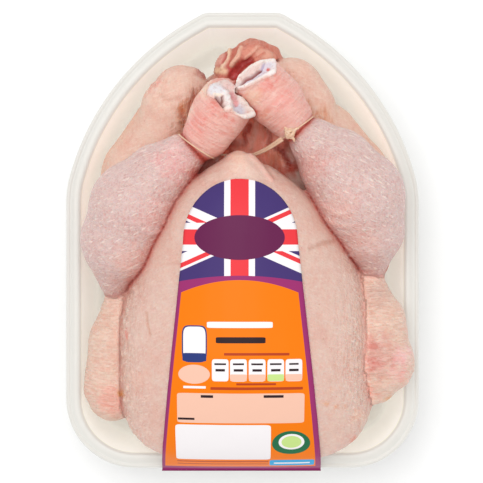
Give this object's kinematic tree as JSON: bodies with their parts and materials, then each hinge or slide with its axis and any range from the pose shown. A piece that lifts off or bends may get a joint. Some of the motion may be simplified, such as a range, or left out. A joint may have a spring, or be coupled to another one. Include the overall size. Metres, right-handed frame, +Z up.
{
  "type": "whole raw chicken",
  "caption": "Oven-ready raw chicken on its back, hocks tied with an elastic, in a shield-shaped plastic tray with a printed label over the breast.",
  "frame": {"origin": "middle of the box round the whole, on the surface that the tray stands on", "axes": "+Z up; +Y along the tray from the neck end to the tail end; +X across, towards the bird's own right side"},
  "size_m": [0.2046, 0.2668, 0.1112],
  "materials": {
    "raw_skin": "moist, slightly shiny raw skin",
    "tray_plastic": "milky thermoformed plastic",
    "label_print": "satin coated paper, printed in flat colours",
    "elastic": "cream elastic, slightly greasy"
  },
  "bodies": {
    "root": {"chicken": "raw_skin", "tray": "tray_plastic", "label": "label_print", "elastic": "elastic"}
  },
  "joints": []
}
